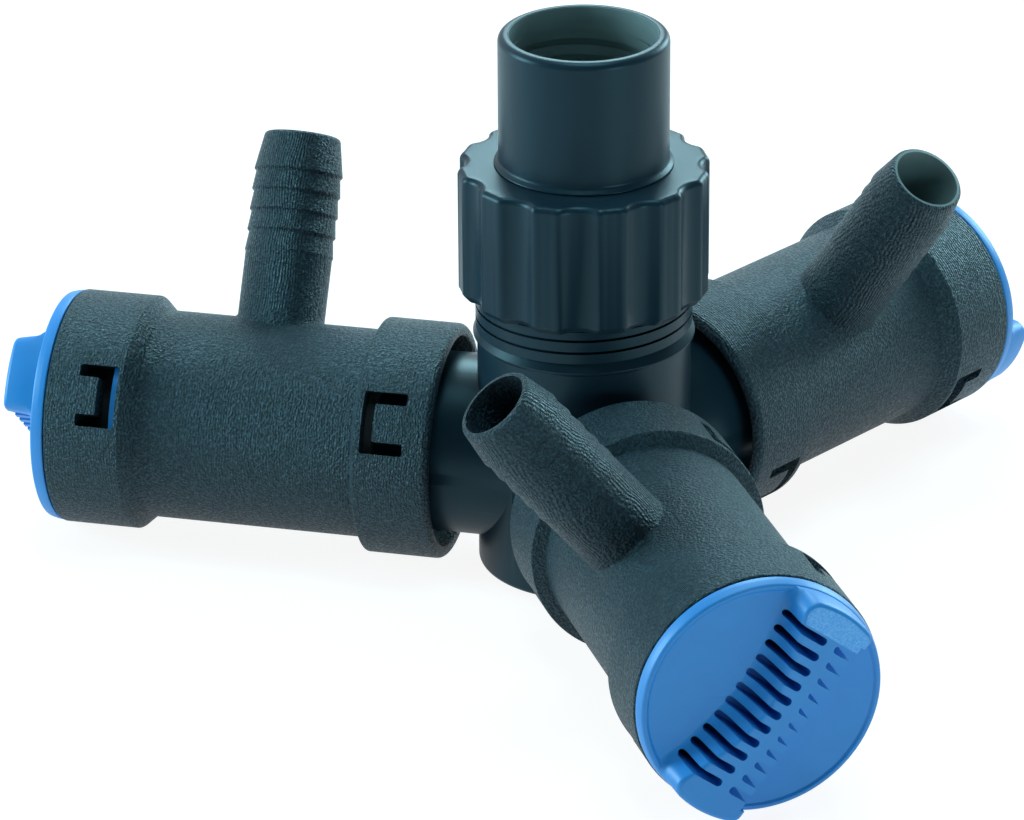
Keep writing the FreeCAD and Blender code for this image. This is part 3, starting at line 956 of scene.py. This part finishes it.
def studio():
    """Pale floor, soft lights and the camera at the photograph's angle."""
    floor_z = CAD_BOX[0][2]
    bm = bmesh.new()
    bmesh.ops.create_grid(bm, x_segments=1, y_segments=1, size=6.0)
    floor = new_object("floor", bm)
    floor.data.transform(Matrix.Translation((0, 0, floor_z)))
    made, tree, shader = new_material("pale_floor")
    plain = {"Base Color": linear("#dfe3e4"), "Roughness": 0.9, "Specular IOR Level": 0.1}
    feed(tree, shader, plain)
    seen = node(tree, "ShaderNodeLightPath").outputs["Is Camera Ray"]
    share = spread(tree, seen, 0.0, 1.0, 0.4, 0.72)
    white = {"Color": linear("#ffffff"), "Strength": 1.25}
    glow = node(tree, "ShaderNodeEmission", white).outputs[0]
    mixed = node(tree, "ShaderNodeMixShader", {0: share, 1: shader.outputs[0], 2: glow}).outputs[0]
    tree.links.new(mixed, tree.nodes["Material Output"].inputs["Surface"])
    floor.data.materials.append(made)

    world = bpy.data.worlds.new("studio")
    bpy.context.scene.world = world
    world.use_nodes = True
    tree = world.node_tree
    seen = node(tree, "ShaderNodeLightPath").outputs["Is Camera Ray"]
    way = node(tree, "ShaderNodeTexCoord").outputs["Generated"]
    behind = node(tree, "ShaderNodeSeparateXYZ", {"Vector": way}).outputs["Y"]
    wall = spread(tree, behind, -0.2, 0.8, 0.03, 0.62, interpolation_type="SMOOTHSTEP")
    strength = node(tree, "ShaderNodeMix", {"Factor": seen, "A": wall, "B": 1.0}).outputs["Result"]
    feed(tree, tree.nodes["Background"], {"Color": linear("#ffffff"), "Strength": strength})

    for name, spot, size, power in (
        ("back", (0.34, 1.1, 0.95), 0.6, 14.0),
        ("top", (0.0, -0.08, 1.3), 0.6, 8.0),
        ("left", (-1.1, 0.35, 0.4), 0.5, 13.0),
        ("right", (1.0, 0.6, 0.4), 0.5, 9.0),
        ("front", (0.55, -1.25, 0.12), 0.4, 4.5),
    ):
        light = bpy.data.lights.new(name, "AREA")
        light.size, light.energy, light.color = size, power, linear(LAMP)[:3]
        lamp = bpy.data.objects.new(name, light)
        lamp.location = spot
        towards = Vector((0, 0, 0.05)) - Vector(spot)
        lamp.rotation_euler = towards.to_track_quat("-Z", "Y").to_euler()
        bpy.context.scene.collection.objects.link(lamp)

    spot, aim = Vector((-0.32293, -1.0293, 0.54168)), Vector((-0.01678, 0.00048, 0.0374))
    roll = math.radians(-0.38)
    lens = bpy.data.cameras.new("camera")
    lens.lens, lens.sensor_width, lens.sensor_fit = 190.65, 36.0, "HORIZONTAL"
    lens.shift_x, lens.shift_y = 0.00186, 0.00054
    camera = bpy.data.objects.new("camera", lens)
    turn = (aim - spot).to_track_quat("-Z", "Y").to_matrix().to_4x4()
    camera.matrix_world = Matrix.Translation(spot) @ turn @ Matrix.Rotation(roll, 4, "Z")
    bpy.context.scene.collection.objects.link(camera)
    bpy.context.scene.camera = camera
    bpy.context.scene.view_settings.view_transform = "Standard"


barrel, knob = barrel_mesh(), knob_mesh()
# The seal rings' black also paints the shade seen through the barrels' slots.
stub_seal_and_shade, plug_seal_and_shade = stub_seal_mesh(), plug_seal_mesh()
for branch, place in BRANCH_PLACE.items():
    finish_piece(
        f"barrel_{branch}",
        barrel,
        place,
        NYLON,
        f"{branch}_barrel",
        [f"valve_barrel_{branch}"],
        # Only the right hose tail's bore gets the bore material's painted light.
        in_tail if branch == "right" else None,
    )
    finish_piece(
        f"knob_{branch}",
        knob,
        place @ Matrix.Rotation(math.radians(KNOB_TURN[branch]), 4, "Z"),
        BLUE,
        f"{branch}_knob",
        [f"regulator_knob_{branch}"],
    )
    # Near-black seal rings: a painted shade inside the slots as well as seals.
    finish_piece(f"stub_seal_and_shade_{branch}", stub_seal_and_shade, place, RUBBER_AND_SHADE, "distributor")
    finish_piece(
        f"plug_seal_and_shade_{branch}", plug_seal_and_shade, place, RUBBER_AND_SHADE, f"{branch}_knob"
    )

for name, mesh, body, cad_node, in_bore in (
    ("body", body_mesh(), "distributor", "distributor_body", None),
    ("nut", nut_mesh(), "nut", "union_nut", None),
    # The inlet tube's bore gets the bore material's painted light.
    ("inlet_tube", tube_mesh(), "inlet", "inlet_adapter", in_inlet),
):
    finish_piece(name, mesh, Matrix.Identity(4), BLACK, body, [cad_node], in_bore)

threads = thread_tool()
NECK_THREAD = {
    "Radius": NECK_R + 0.5,
    "Pitch": NECK_PITCH,
    "Turns": NECK_TURNS,
    "Inner Width": 2.2,
    "Outer Width": 0.8,
    "Depth": 1.5,
}
INLET_THREAD = {
    "Radius": INLET_R + 0.35,
    "Pitch": INLET_PITCH,
    "Turns": INLET_TURNS,
    "Inner Width": 0.9,
    "Outer Width": 2.3,
    "Depth": 1.1,
}
for name, body, material, base, values in (
    ("neck_thread", "distributor", BLACK, SHOULDER, NECK_THREAD),
    # The inlet's thread sits in the bore and gets its painted light too.
    ("inlet_thread", "inlet", BORE_PAINTED_LIGHT, NECK_TOP + 5.0, INLET_THREAD),
):
    ridge = run_tool(new_object(name, bmesh.new()), threads, values)
    lift = Matrix.Translation((0, 0, base * MM))
    finish_piece(name, take_mesh(ridge), lift, material, body)

studio()
